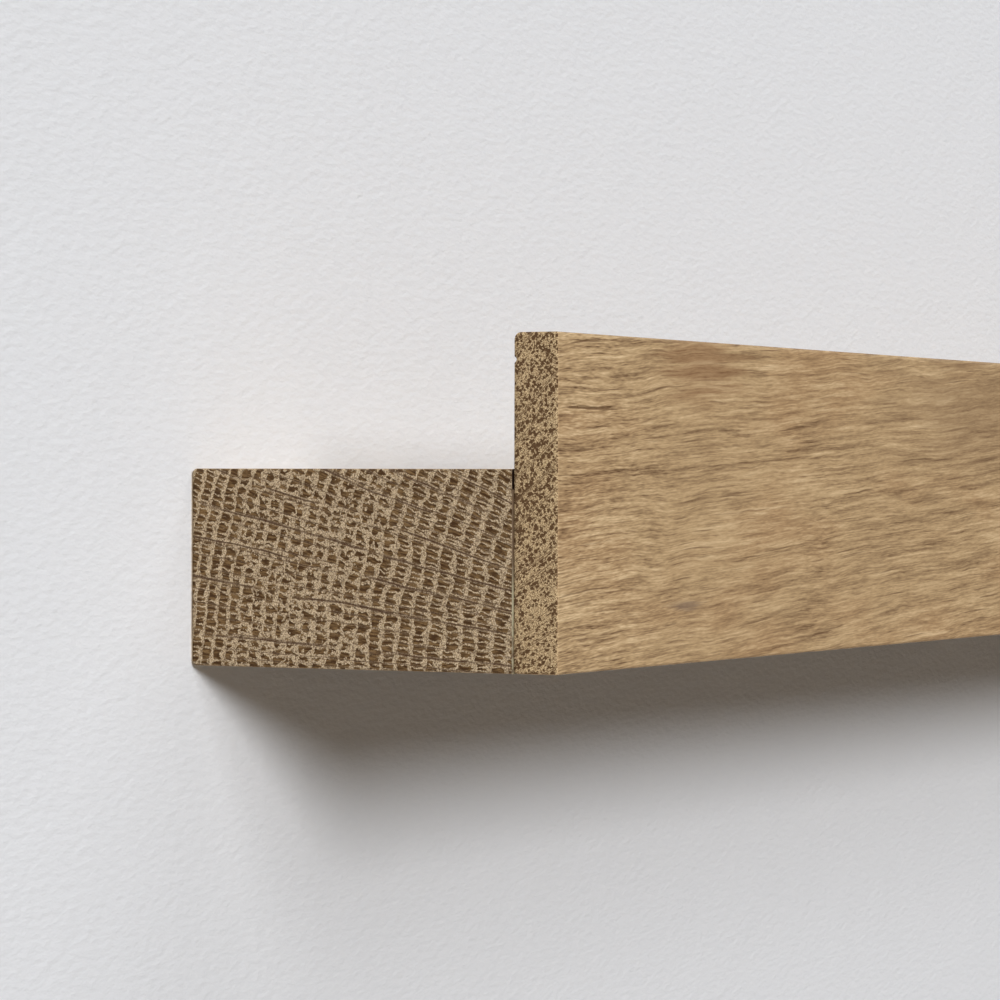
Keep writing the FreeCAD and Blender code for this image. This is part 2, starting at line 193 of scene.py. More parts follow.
def trunk(g, pith_y, pith_z, climb, wander):
    """Where a point lies in the tree, in millimetres: along, across, up, out from the pith, and the angle.

    The grain climbs a little along the board and wanders on its way."""
    x, y, z = g.split(g.place())
    slow = g.vector(g.mul(x, 0.011), g.mul(y, 0.02), g.mul(z, 0.02))
    quick = g.vector(g.mul(x, 0.05), g.mul(y, 0.06), g.add(g.mul(z, 0.06), 7.0))
    level = g.sub(z, g.mul(g.add(x, 300.0), climb))
    y = g.add(y, g.mul(g.sub(g.noise(slow), 0.5), wander))
    level = g.add(level, g.mul(g.sub(g.noise(quick), 0.5), wander * 0.35))
    dy, dz = g.sub(y, pith_y), g.sub(level, pith_z)
    radius = g.math("SQRT", g.add(g.mul(dy, dy), g.mul(dz, dz)))
    angle = g.math("ARCTAN2", dz, dy)
    return {"x": x, "y": y, "z": level, "height": z, "radius": radius, "angle": angle}


def end_share(g):
    """1 on the sawn ends and 0 on the long faces."""
    return g.ramp(g.math("ABSOLUTE", g.facing()[0]), 0.45, 0.8)


def block_rings(g, t):
    """Adds the block's growth rings to its trunk: the ring's number, the share of it grown, and its width.

    Rings are counted from the first one in the block, and narrow on their way out."""
    first, rings_per_mm, crowding = 70.0, 0.351, 0.00152
    first_width, narrowing = 2.85, 0.016
    out = g.sub(t["radius"], first)
    even = g.add(g.mul(out, rings_per_mm), g.mul(g.mul(out, out), crowding))
    lean = g.noise(g.vector(g.mul(t["angle"], 16.0), g.mul(t["radius"], 0.06), 3.0))
    jog = g.noise(g.vector(g.mul(t["angle"], 75.0), g.mul(t["radius"], 0.4), 9.0))
    ring = g.add(even, g.add(g.mul(lean, 0.9), g.mul(jog, 0.6)))
    width = g.sub(first_width, g.mul(out, narrowing))
    return {**t, "number": g.math("FLOOR", ring), "share": g.math("FRACT", ring), "width": width}


def rays(g, t, per_radian, half_width, pale_width, seed):
    """Rays that fan out from the pith, as a dark thread and the pale wood beside it. Each one comes and goes.

    The widths are in millimetres."""
    bend = g.mul(g.noise(g.vector(g.mul(t["angle"], 26.0), g.mul(t["radius"], 0.05), seed)), 0.4)
    place = g.add(g.add(g.mul(t["angle"], per_radian), bend), seed)
    apart = g.mul(g.mul(g.gaps(place), 1 / per_radian), t["radius"])
    come_and_go = g.noise(g.vector(g.mul(t["angle"], per_radian * 1.3), g.mul(t["radius"], 0.07), seed), 2.0)
    shown = g.ramp(come_and_go, 0.4, 0.54)
    swell = g.mul(g.add(0.4, come_and_go), half_width)
    dark = g.mul(g.ramp(g.math("DIVIDE", apart, swell), 1.6, 0.6), shown)
    pale = g.mul(g.ramp(apart, pale_width * 1.3, pale_width * 0.7), shown)
    return dark, pale


def block_end_grain(g, t):
    """Oak end grain: pale pored bands, and dark fibre patches split by pale flames along the rays."""
    radius, share, number = t["radius"], t["share"], t["number"]

    # Millimetres along each ring, with the same start for all of one ring.
    around = g.mul(t["angle"], g.add(g.mul(number, 2.45), 70.0))

    # Neat tall patches by the seam and the wall, and ragged islands in between.
    mottle = g.noise(g.vector(g.mul(t["angle"], 13.0), g.mul(radius, 0.1), 21.0), 2.0)
    between = g.mul(g.ramp(radius, 86.0, 97.0), g.ramp(radius, 126.0, 108.0))
    rough = g.ramp(g.add(g.mul(between, 0.75), mottle), 0.55, 1.15)

    # How far into each ring the pale band reaches. Each patch has its own start.
    patch_start = g.noise(g.vector(g.mul(around, 0.9), g.mul(number, 7.3), 5.0), 1.0)
    ragged = g.noise(g.vector(g.mul(around, 2.6), g.mul(radius, 2.2), 15.0), 2.0)
    reach = g.add(g.add(0.3, g.mul(rough, -0.02)), g.mul(g.sub(patch_start, 0.5), g.blend(rough, 0.75, 1.4)))
    from_band = g.mul(g.sub(share, reach), t["width"])
    from_ring = g.mul(g.sub(0.99, share), t["width"])

    # Pale flames run out along the rays and thin towards the end of the ring.
    wriggle = g.noise(g.vector(g.mul(around, 0.7), g.mul(radius, 0.8), g.mul(number, 3.7)), 2.0)

    def from_lanes(apart):
        """Distance to the nearest flame, where they lie about this far apart."""
        place = g.add(g.mul(around, 1 / apart), g.add(g.mul(number, 31.7), g.mul(wriggle, 1.2)))
        return g.mul(g.gaps(place), apart)

    flame = g.blend(share, g.blend(rough, 0.2, 0.3), g.blend(rough, 0.04, 0.15))
    apart = g.blend(rough, from_lanes(0.89), from_lanes(1.5))
    from_flame = g.sub(apart, g.mul(flame, g.span(ragged, 0.3, 1.7)))

    # The ragged islands.
    clump = g.noise(g.vector(around, g.mul(radius, 1.1), 33.0))
    from_clump = g.add(g.mul(g.sub(clump, 0.4), 4.0), g.mul(g.opposite(rough), 1.5))

    # How deep a point lies in its dark patch, in millimetres: the least of the four, with rounded corners.
    corner, unevenness = 0.18, 0.2
    depth = from_band
    for other in (from_ring, from_flame, from_clump):
        depth = g.math("SMOOTH_MIN", depth, other, corner)
    depth = g.add(depth, g.mul(g.sub(ragged, 0.5), unevenness))
    dark = g.ramp(depth, -0.03, 0.08)

    strong, strong_pale = rays(g, t, 21.0, 0.13, 0.34, 3.0)
    weak, weak_pale = rays(g, t, 62.0, 0.07, 0.18, 8.0)

    # Pores and specks.
    holes = g.cells(g.vector(g.mul(t["x"], 0.08), g.mul(t["y"], 2.5), g.mul(t["z"], 2.5)))
    pinholes = g.cells(g.vector(g.mul(t["x"], 0.1), g.mul(t["y"], 4.6), g.add(g.mul(t["z"], 4.6), 30.0)))
    speck = g.noise(g.vector(g.mul(t["x"], 0.1), g.mul(t["y"], 5.5), g.mul(t["z"], 5.5)), 1.0)
    thread = g.noise(g.vector(g.mul(around, 3.4), g.mul(radius, 0.5), number), 2.0)
    paled = g.mul(g.either(strong_pale, g.mul(weak_pale, 0.5)), 0.45)
    return {
        "dark": g.mul(dark, g.opposite(paled)),
        "ray": g.either(strong, g.mul(weak, 0.75)),
        "hole": g.either(g.ramp(holes, 0.55, 0.2), g.mul(g.ramp(pinholes, 0.5, 0.2), 0.9)),
        "speck": speck,
        "thread": thread,
    }


def long_grain(g, t, share, seed):
    """Sanded long grain: its tone, 0.5 on average and higher where pale, its vessel lines and soft stains."""
    x, y = t["x"], t["y"]
    wave = g.noise(g.vector(g.mul(x, 0.03), g.mul(y, 0.08), g.add(g.mul(t["z"], 0.08), seed)), 2.0)
    z = g.add(t["z"], g.mul(wave, 1.1))

    def stretched(along, across, detail, start):
        """Noise drawn out along the grain. Both numbers are features per millimetre."""
        place = g.vector(g.mul(x, along), g.mul(y, across), g.add(g.mul(z, across), seed + start))
        return g.noise(place, detail, 0.6)

    streak = stretched(0.035, 0.8, 3.0, 0.0)
    fibre = stretched(0.11, 3.4, 2.0, 9.0)
    by_end = g.ramp(g.math("ABSOLUTE", x), 250.0, 298.0)
    tone = g.weigh(
        (0.35, stretched(0.016, 0.06, 3.0, 17.0)),
        (0.55, streak),
        (0.55, stretched(0.06, 1.9, 2.0, 5.0)),
        (g.span(by_end, 0.6, 1.0), fibre),
        (g.span(by_end, 0.4, 0.8), stretched(0.5, 4.8, 1.0, 13.0)),
    )
    early = g.mul(g.ramp(share, 0.6, 0.2), g.ramp(share, 0.0, 0.1))
    line = stretched(0.05, 2.0, 1.0, 27.0)
    vessel = g.mul(g.ramp(g.add(line, g.mul(early, 0.04)), 0.63, 0.76), g.ramp(fibre, 0.7, 0.5))
    return {
        "tone": g.sub(tone, g.mul(early, 0.05)),
        "stain": stretched(0.02, 0.07, 2.0, 20.0),
        "streak": streak,
        "line": line,
        "fibre": fibre,
        "vessel": vessel,
    }


def long_grain_colour(g, grain, light, middle, red, dark):
    """The colour of sanded long grain from its parts."""
    middle = g.tint(g.mul(g.ramp(grain["stain"], 0.48, 0.7), 0.5), middle, red)
    base = g.tint(g.line(grain["tone"], 0.08, 0.52), dark, middle)
    base = g.tint(g.line(grain["tone"], 0.52, 0.9), base, light)
    return g.tint(g.mul(grain["vessel"], 0.5), base, dark)


def long_grain_relief(g, grain):
    """The height of sanded long grain: fibres stand up a little, and vessels are open."""
    return g.sub(g.mul(grain["fibre"], 0.3), g.mul(grain["vessel"], 0.6))


def block_oak():
    """The shelf block: strong end grain on the sawn ends, quieter long grain elsewhere."""
    g = Graph("block_oak")
    t = block_rings(g, trunk(g, pith_y=-122.0, pith_z=-19.0, climb=0.004, wander=2.4))
    end = block_end_grain(g, t)
    ground = g.tint(g.ramp(end["speck"], 0.3, 0.7), srgb(150, 125, 88), srgb(219, 198, 168))
    ground = g.tint(g.mul(end["hole"], 0.75), ground, srgb(76, 52, 28))
    fibre = g.tint(g.ramp(end["thread"], 0.4, 0.66), srgb(72, 48, 23), srgb(126, 98, 63))
    fibre = g.tint(g.mul(g.ramp(end["speck"], 0.5, 0.3), 0.4), fibre, srgb(44, 30, 16))
    colour = g.tint(end["dark"], ground, fibre)
    colour = g.tint(g.mul(end["ray"], 0.8), colour, srgb(62, 33, 16))

    grain = long_grain(g, t, t["share"], seed=3.0)
    sides = long_grain_colour(
        g, grain, srgb(222, 198, 162), srgb(184, 158, 122), srgb(166, 136, 100), srgb(92, 70, 46)
    )
    # Painted shade: the block's front face, seen only in the deep gap behind the lip, is darkened near black.
    painted_gap_shade = g.ramp(g.facing()[1], -0.7, -0.9)
    sides = g.tint(painted_gap_shade, sides, srgb(48, 34, 24))
    share = end_share(g)
    relief_end = g.sub(g.mul(end["dark"], -0.35), g.mul(end["hole"], 0.5))
    normal = g.bump(g.blend(share, long_grain_relief(g, grain), relief_end), GRAIN_DEPTH)
    roughness = g.blend(share, g.span(grain["streak"], 0.5, 0.66), 0.8)
    return g.surface(g.tint(share, sides, colour), roughness, normal, **{"Specular IOR Level": 0.2})


def lip_end_grain(g, t):
    """End grain of the lip: small dark islands in slanting rows on speckled pale wood."""
    around = g.mul(t["angle"], 128.0)
    place = g.vector(g.mul(t["radius"], 1.45), g.mul(around, 1.65), g.mul(t["x"], 0.05))
    spot = g.node("ShaderNodeTexVoronoi", {"Vector": place, "Scale": 1.0, "Randomness": 0.75})
    size = g.span(g.split(spot.outputs["Color"])[0], 0.26, 0.64)
    ragged = g.noise(g.vector(g.mul(t["radius"], 3.0), g.mul(around, 3.4), 2.0), 2.0)
    crowd = g.noise(g.vector(g.mul(t["radius"], 0.14), g.mul(around, 0.14), 4.0), 2.0)
    edge = g.sub(spot.outputs["Distance"], g.add(size, g.mul(g.sub(crowd, 0.5), 0.5)))
    island = g.ramp(g.add(edge, g.mul(g.sub(ragged, 0.5), 1.4)), 0.08, -0.06)
    strong, strong_pale = rays(g, t, 42.0, 0.08, 0.22, 2.0)
    weak = rays(g, t, 110.0, 0.05, 0.1, 6.0)[0]
    dark = g.mul(island, g.opposite(g.mul(strong_pale, 0.6)))
    pinholes = g.cells(g.vector(g.mul(t["radius"], 3.6), g.mul(around, 4.2), 3.0))
    return {
        "dark": g.either(dark, g.either(g.mul(strong, 0.7), g.mul(weak, 0.5))),
        "hole": g.ramp(pinholes, 0.46, 0.22),
        "speck": g.noise(g.vector(g.mul(t["radius"], 4.6), g.mul(around, 5.6), 8.0), 1.0),
    }


def mark(g, t, x, height, half_length, half_height, ragged):
    """A mark on the lip: 1 in its middle, fading to 0 past its edge."""
    along = g.mul(g.sub(t["x"], x), 1 / half_length)
    up = g.mul(g.sub(t["height"], height), 1 / half_height)
    away = g.math("SQRT", g.add(g.mul(along, along), g.mul(up, up)))
    return g.ramp(g.add(away, g.mul(g.sub(ragged, 0.5), 2.2)), 1.25, 0.25)


def lip_oak():
    """The lip: plain-sawn long grain on its faces, and spotted end grain."""
    g = Graph("lip_oak")
    t = trunk(g, pith_y=37.0, pith_z=-63.0, climb=0.05, wander=5.0)
    drift = g.noise(g.vector(g.mul(t["x"], 0.006), g.mul(t["radius"], 0.08), 11.0))
    share = g.math("FRACT", g.add(g.mul(t["radius"], 1 / 2.6), g.mul(drift, 1.6)))
    grain = long_grain(g, t, share, seed=11.0)
    face = long_grain_colour(
        g, grain, srgb(232, 204, 162), srgb(192, 162, 122), srgb(174, 138, 100), srgb(96, 68, 46)
    )

    stain = mark(g, t, -250.0, 31.0, 17.0, 6.5, grain["streak"])
    face = g.tint(g.mul(stain, 0.5), face, srgb(138, 98, 66))
    shade = mark(g, t, -135.0, 26.0, 48.0, 13.0, grain["streak"])
    face = g.tint(g.mul(shade, 0.4), face, srgb(140, 112, 84))
    spot = mark(g, t, -256.0, -6.0, 7.0, 0.9, grain["line"])
    face = g.tint(g.mul(spot, 0.6), face, srgb(112, 94, 84))
    crack = mark(g, t, -289.0, CRACK_HEIGHT_MM, 9.0, 0.3, grain["fibre"])
    face = g.tint(g.mul(crack, 0.8), face, srgb(84, 56, 34))

    end = lip_end_grain(g, t)
    ground = g.tint(g.ramp(end["speck"], 0.34, 0.66), srgb(140, 112, 76), srgb(216, 190, 148))
    ground = g.tint(g.mul(end["hole"], 0.7), ground, srgb(88, 60, 34))
    colour = g.tint(g.mul(end["dark"], 0.96), ground, srgb(84, 57, 31))

    share = end_share(g)
    normal = g.bump(g.blend(share, long_grain_relief(g, grain), g.mul(end["dark"], -0.5)), GRAIN_DEPTH)
    roughness = g.blend(share, g.span(grain["streak"], 0.46, 0.62), 0.78)
    return g.surface(g.tint(share, face, colour), roughness, normal, **{"Specular IOR Level": 0.25})


# ------------------------------------------------------------------------------------ other materials


def glue():
    """Dried wood glue, pale and a little dirty."""
    g = Graph("wood_glue")
    dirt = g.noise(g.place(900.0), 3.0)
    height = g.split(g.place())[2]
    pale = g.ramp(g.add(height, g.mul(dirt, 8.0)), 7.0, 0.0)
    colour = g.tint(g.mul(pale, g.ramp(dirt, 0.3, 0.6)), srgb(104, 82, 58), srgb(170, 162, 132))
    return g.surface(colour, g.span(dirt, 0.4, 0.7))


def zinc(name, tone):
    """Zinc-plated steel: faint crystals, rubbed brighter in streaks."""
    g = Graph(name)
    x, y, z = g.split(g.place())
    crystal = g.cells(g.vector(g.mul(x, 0.8), g.mul(y, 0.8), g.mul(z, 0.8)), output="Color")
    rub = g.noise(g.vector(g.mul(x, 0.5), g.mul(y, 2.0), g.mul(z, 6.0)), 3.0)
    shade = g.add(g.mul(g.split(crystal)[0], 0.5), g.mul(rub, 0.5))
    colour = g.tint(shade, srgb(tone - 34, tone - 32, tone - 30), srgb(tone, tone, tone - 4))
    normal = g.bump(rub, 0.01 * MM)
    return g.surface(colour, g.span(rub, 0.28, 0.5), normal, Metallic=0.65)


def nylon():
    """Moulded grey nylon with a soft sheen."""
    g = Graph("plug_nylon")
    grain = g.noise(g.place(700.0), 4.0)
    colour = g.tint(g.ramp(grain, 0.3, 0.7), srgb(146, 149, 152), srgb(172, 174, 176))
    return g.surface(colour, g.span(grain, 0.38, 0.55), g.bump(grain, 0.02 * MM))


# --------------------------------------------------------------------------------------- oak meshes


def stations(low, high, low_ease, high_ease, step, extra):
    """Places of the grid lines along one axis: close together over both eased edges, then even."""
    angles = [math.radians(a) for a in (45, 30, 15, 0)]
    places = {low, high}
    if low_ease:
        places |= {low + low_ease * (1 - math.tan(a)) for a in angles}
    if high_ease:
        places |= {high - high_ease * (1 - math.tan(a)) for a in angles}
    inner_low, inner_high = low + low_ease, high - high_ease
    count = max(1, round((inner_high - inner_low) / step))
    places |= {inner_low + (inner_high - inner_low) * i / count for i in range(count + 1)}
    places |= set(extra)
    kept = []
    for place in sorted(places):
        if not kept or place - kept[-1] > 0.02 * MM:
            kept.append(place)
    kept[-1] = high
    return kept


def shell_grid(lines):
    """The outer faces of a box as a grid over the given lines of each axis, as a bmesh."""
    mesh = bmesh.new()
    last = [len(axis) - 1 for axis in lines]
    corners = {}

    def corner(index):
        if index not in corners:
            corners[index] = mesh.verts.new([axis[i] for axis, i in zip(lines, index)])
        return corners[index]

    for axis in range(3):
        side, up = (axis + 1) % 3, (axis + 2) % 3
        for end in (0, last[axis]):
            for i in range(last[side]):
                for j in range(last[up]):
                    ring = []
                    for di, dj in ((0, 0), (1, 0), (1, 1), (0, 1)):
                        index = [0, 0, 0]
                        index[axis], index[side], index[up] = end, i + di, j + dj
                        ring.append(corner(tuple(index)))
                    mesh.faces.new(ring if end else ring[::-1])
    return mesh


def ease_edges(mesh, low, high, low_ease, high_ease):
    """Rounds the edges of a box grid, unevenly. A side with no easing keeps the edges round it sharp."""
    unevenness, patches_per_metre = 0.22, 90
    for vertex in mesh.verts:
        worn = 1 + unevenness * noise.noise(vertex.co * patches_per_metre)
        inner, away, sides = [], [], 0
        for value, lo, hi, a, b in zip(vertex.co, low, high, low_ease, high_ease):
            near_low, near_high = a * worn, b * worn
            if near_low and value < lo + near_low:
                inner.append(lo + near_low)
                away.append((value - lo - near_low) / near_low)
            elif near_high and value > hi - near_high:
                inner.append(hi - near_high)
                away.append((value - hi + near_high) / near_high)
            else:
                inner.append(value)
                away.append(0.0)
            sides += abs(away[-1]) > 0.999
        reach = math.sqrt(sum(a * a for a in away))
        if sides == 0 or reach < 1.0001:
            continue
        for axis in range(3):
            size = (low_ease if away[axis] < 0 else high_ease)[axis] * worn
            away[axis] = away[axis] / reach * size
        vertex.co = Vector(inner) + Vector(away)


def dent(mesh, centre, reach, push):
    """Moves what lies within an ellipsoid, most at its centre."""
    for vertex in mesh.verts:
        share = Vector([(v - c) / r for v, c, r in zip(vertex.co, centre, reach)]).length
        if share < 1:
            vertex.co += Vector(push) * (1 - share * share)


def to_object(mesh, name):
    """A bmesh as an object, smooth apart from its real corners."""
    mesh.normal_update()
    data = bpy.data.meshes.new(name)
    mesh.to_mesh(data)
    mesh.free()
    data.polygons.foreach_set("use_smooth", [True] * len(data.polygons))
    data.set_sharp_from_angle(angle=math.radians(35))
    made = bpy.data.objects.new(name, data)
    bpy.context.scene.collection.objects.link(made)
    return made


def board(name, low, high, low_ease, high_ease, step, extra, dents):
    """A sawn and sanded board as a fine grid, with worn edges and small dents.

    The grid is fine a little past each eased edge, because wear makes some of them wider."""
    margin = 1.25
    lines = [
        stations(low[i], high[i], low_ease[i] * margin, high_ease[i] * margin, step[i], extra[i])
        for i in range(3)
    ]
    mesh = shell_grid(lines)
    ease_edges(mesh, low, high, low_ease, high_ease)
    for centre, reach, push in dents:
        dent(mesh, centre, reach, push)
    return to_object(mesh, name)


def cut_away(piece, cutters):
    """Takes cutters out of a piece and keeps the result as its mesh."""
    for cutter in cutters:
        cut = piece.modifiers.new("cut", "BOOLEAN")
        cut.operation = "DIFFERENCE"
        cut.solver = "EXACT"
        cut.object = cutter
    graph = bpy.context.evaluated_depsgraph_get()
    data = bpy.data.meshes.new_from_object(piece.evaluated_get(graph), depsgraph=graph)
    piece.modifiers.clear()
    piece.data = data
    data.set_sharp_from_angle(angle=math.radians(35))
    for cutter in cutters:
        bpy.data.objects.remove(cutter)


def prism(name, outline, front, back):
    """A closed outline of (x, z) points, extruded from one place on Y to another."""
    mesh = bmesh.new()
    near = [mesh.verts.new((x, front, z)) for x, z in outline]
    far = [mesh.verts.new((x, back, z)) for x, z in outline]
    mesh.faces.new(near)
    mesh.faces.new(far[::-1])
    count = len(outline)
    for i in range(count):
        after = (i + 1) % count
        mesh.faces.new((near[after], near[i], far[i], far[after]))
    bmesh.ops.recalc_face_normals(mesh, faces=mesh.faces)
    return to_object(mesh, name)


def rounded_outline(x, z, half_width, half_height, radius, turns=6):
    """A rectangle with round corners, as (x, z) points."""
    points = []
    for quarter, (sx, sz) in enumerate(((1, 1), (-1, 1), (-1, -1), (1, -1))):
        for i in range(turns + 1):
            angle = math.radians(90 * (quarter + i / turns))
            across = x + sx * (half_width - radius) + radius * math.cos(angle)
            up = z + sz * (half_height - radius) + radius * math.sin(angle)
            points.append((across, up))
    return points


def make_block():
    """The shelf block, with its back let out for the plates and screw heads as the CAD block is.

    Its front edge is pressed in a little at the top of the seam, at the left end."""
    end_ease, wall_ease, fine = 0.3 * MM, 0.8 * MM, 0.25 * MM
    near_end = [block_low.x + 1.2 * MM * i for i in range(1, 12)]
    near_seam = [block_low.y + fine * i for i in range(1, 8)]
    near_top = [block_high.z - fine * i for i in range(1, 18)]
    seam_top = (block_low.x, block_low.y, block_high.z)
    pressed = (seam_top, (11 * MM, 0.9 * MM, 4.2 * MM), (0, 0.07 * MM, 0))
    piece = board(
        "shelf_block_oak",
        block_low,
        block_high,
        (end_ease, 0, wall_ease),
        (end_ease, wall_ease, wall_ease),
        (5 * MM, 2.5 * MM, 2.5 * MM),
        (near_end, near_seam, near_top),
        [pressed],
    )
    room, corner, past_back, overlap = 0.1 * MM, 3.1 * MM, 1 * MM, 0.1 * MM
    pocket_half_width, pocket_half_height, pocket_depth = 5.5 * MM, 9 * MM, 5.3 * MM
    pocket_round = pocket_half_width - 0.001 * MM
    cutters = []
    for side in ("left", "right"):
        low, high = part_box(f"keyhole_plate_{side}")
        middle, half = (low + high) / 2, (high - low) / 2
        outline = rounded_outline(middle.x, middle.z, half.x + room, half.z + room, corner)
        cutters.append(prism(f"recess_{side}", outline, low.y, past_back))
        outline = rounded_outline(middle.x, middle.z, pocket_half_width, pocket_half_height, pocket_round)
        cutters.append(prism(f"pocket_{side}", outline, low.y - pocket_depth, low.y + overlap))
    cut_away(piece, cutters)
    return piece


def make_lip():
    """The lip, with worn long edges.

    At the left end it has a small nick on its picture side, and a hairline crack along its front."""
    end_ease, front_ease, back_ease = 0.3 * MM, 0.4 * MM, 1.1 * MM
    nick_height, crack_height = lip_high.z - 4 * MM, CRACK_HEIGHT_MM * MM
    near_end = [lip_low.x + 0.8 * MM * i for i in range(1, 24)]
    near_nick = [nick_height + 0.25 * MM * i for i in range(-3, 4)]
    near_crack = [crack_height + 0.12 * MM * i for i in range(-4, 5)]
    nick = ((lip_low.x, lip_high.y, nick_height), (2.5 * MM, 0.6 * MM, 0.5 * MM), (0.1 * MM, -0.3 * MM, 0))
    dents = [nick]
    for along, rise in ((5, 0.25), (8, 0), (11.5, -0.1), (15, 0.15)):
        centre = (lip_low.x + along * MM, lip_low.y, crack_height + rise * MM)
        dents.append((centre, (2.0 * MM, 0.5 * MM, 0.2 * MM), (0, 0.14 * MM, 0)))
    return board(
        "front_lip_oak",
        lip_low,
        lip_high,
        (end_ease, front_ease, front_ease),
        (end_ease, back_ease, back_ease),
        (5 * MM, 1.5 * MM, 2.5 * MM),
        (near_end, [], near_nick + near_crack),
        dents,
    )


# ------------------------------------------------------------------------------------------ fixings


TURNS = 32  # corners round each turned piece


def turned_rings(mesh, rows):
    """Rings of points about Y. Each row is a place on Y, and a radius or a function of the angle for one."""
    rings = []
    for place, radius in rows:
        ring = []
        for i in range(TURNS):
            angle = 2 * math.pi * i / TURNS
            size = radius(angle) if callable(radius) else radius
            ring.append(mesh.verts.new((size * math.cos(angle), place, size * math.sin(angle))))
        rings.append(ring)
    return rings


def join_rings(mesh, below, above):
    """A band of faces between two rings."""
    for i in range(TURNS):
        after = (i + 1) % TURNS
        mesh.faces.new((below[i], above[i], above[after], below[after]))


def lathe(name, rows):
    """A solid of revolution about Y through the origin, from its rows front to back."""
    mesh = bmesh.new()
    rings = turned_rings(mesh, rows)
    for below, above in zip(rings, rings[1:]):
        join_rings(mesh, below, above)
    mesh.faces.new(rings[0])
    mesh.faces.new(rings[-1][::-1])
    bmesh.ops.recalc_face_normals(mesh, faces=mesh.faces)
    return to_object(mesh, name)


def lathe_tube(name, rows):
    """A tube about Y through the origin: its rows run once round its section."""
    mesh = bmesh.new()
    rings = turned_rings(mesh, rows)
    for below, above in zip(rings, rings[1:] + rings[:1]):
        join_rings(mesh, below, above)
    bmesh.ops.recalc_face_normals(mesh, faces=mesh.faces)
    return to_object(mesh, name)


def head_rows(front, radius, height, rounding):
    """A pan head: flat in front, with its outer edge rounded."""
    rows = [(front, radius - 1.2 * MM)]
    for turn in range(10, 91, 16):
        angle = math.radians(turn)
        place = front + rounding * (1 - math.cos(angle))
        rows.append((place, radius - rounding * (1 - math.sin(angle))))
    rows.append((front + height - 0.05 * MM, radius))
    rows.append((front + height, radius - 0.1 * MM))
    return rows


def thread_rows(start, tip, core, crest, pitch):
    """A wood-screw thread that starts softly and tapers to the point."""
    point_length, run_in, ridge_share, start_share, steps = 5 * MM, 1.5 * pitch, 0.28, 0.55, 10
    count = round((tip - start) / pitch * steps)
    rows = []
    for i in range(count):
        place = start + (tip - start) * i / count
        taper = min(1.0, (tip - place) / point_length)
        grow = min(1.0, (place - start) / run_in)

        def size(angle, place=place, taper=taper, grow=grow):
            phase = (place / pitch - angle / (2 * math.pi)) % 1
            ridge = max(0.0, 1 - abs(phase - 0.5) / ridge_share)
            return taper * (core + (crest - core) * (ridge * grow + start_share * (1 - grow)))

        rows.append((place, size))
    rows.append((tip, 0.05 * MM))
    return rows


def cross_cutter(front, reach, width, depth):
    """A cross of two bars, for a driver."""
    outline = []
    for sx, sz in ((1, 1), (-1, 1), (-1, -1), (1, -1)):
        arm = [(reach * sx, width * sz), (width * sx, width * sz), (width * sx, reach * sz)]
        outline += arm if sx * sz > 0 else arm[::-1]
    return prism("cross", outline, front - 1 * MM, front + depth)


def make_wall_screw(side):
    """A pan-head screw with a real thread, where the CAD screw is."""
    low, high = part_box(f"wall_screw_{side}")
    axis = (low + high) / 2
    head_radius, head_height, head_round = 4 * MM, 2.6 * MM, 0.9 * MM
    core, crest, pitch, plain_neck = 1.55 * MM, 2.25 * MM, 2.0 * MM, 3 * MM
    under_head = low.y + head_height
    rows = head_rows(low.y, head_radius, head_height, head_round)
    rows.append((under_head, crest * 0.9))
    rows += thread_rows(under_head + plain_neck, high.y, core, crest, pitch)
    piece = lathe(f"wall_screw_{side}_steel", rows)
    cut_away(piece, [cross_cutter(low.y, 2.3 * MM, 0.55 * MM, 1.2 * MM)])
    piece.data.transform(Matrix.Translation((axis.x, 0, axis.z)))
    return piece


def make_wall_plug(side):
    """A ribbed nylon plug, slit from its far end, where the CAD plug is."""
    low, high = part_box(f"wall_plug_{side}")
    axis = (low + high) / 2
    outer, bore, slit, slit_start = 3.0 * MM, 2.3 * MM, 0.4 * MM, 8 * MM
    groove, rib_step = outer * 0.9, 2.1 * MM
    rows = [(low.y, outer * 0.93), (low.y + 0.3 * MM, outer), (low.y + 5 * MM, outer)]
    place = low.y + 5.6 * MM
    while place < high.y - 3 * MM:
        rows += [(place, groove), (place + 1.3 * MM, outer), (place + 1.5 * MM, outer)]
        place += rib_step
    rows += [(high.y - 1.5 * MM, groove), (high.y, outer * 0.82)]
    rows += [(high.y, bore), (low.y, bore)]
    piece = lathe_tube(f"wall_plug_{side}_nylon", rows)
    reach = outer * 1.2
    outline = [(-slit, -reach), (slit, -reach), (slit, reach), (-slit, reach)]
    cut_away(piece, [prism("slit", outline, low.y + slit_start, high.y + 1 * MM)])
    piece.data.transform(Matrix.Translation((axis.x, 0, axis.z)))
    return piece


# ------------------------------------------------------------------------------------------ assembly


def wear(piece, material):
    """Gives a piece one material."""
    piece.data.materials.clear()
    piece.data.materials.append(material)


def dress(piece, material, body, node):
    """A finished piece that stands for a CAD node."""
    wear(piece, material)
    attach(piece, body)
    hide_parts(node)


def paint(node, material):
    """Gives a CAD node that stays in view its finished material."""
    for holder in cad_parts[node].material_slots:
        holder.material = material


screw_steel = zinc("screw_steel", 214)
plate_steel = zinc("plate_steel", 200)
plug_nylon = nylon()

dress(make_block(), block_oak(), "ledge", "shelf_block")
dress(make_lip(), lip_oak(), "ledge", "front_lip")
paint("glue_line", glue())
for side in ("left", "right"):
    paint(f"keyhole_plate_{side}", plate_steel)
    for place in ("outer", "inner"):
        paint(f"plate_screw_{side}_{place}", screw_steel)
    dress(make_wall_screw(side), screw_steel, "wall_fixings", f"wall_screw_{side}")
    dress(make_wall_plug(side), plug_nylon, "wall_fixings", f"wall_plug_{side}")


# --------------------------------------------------------------------------------------------- stage


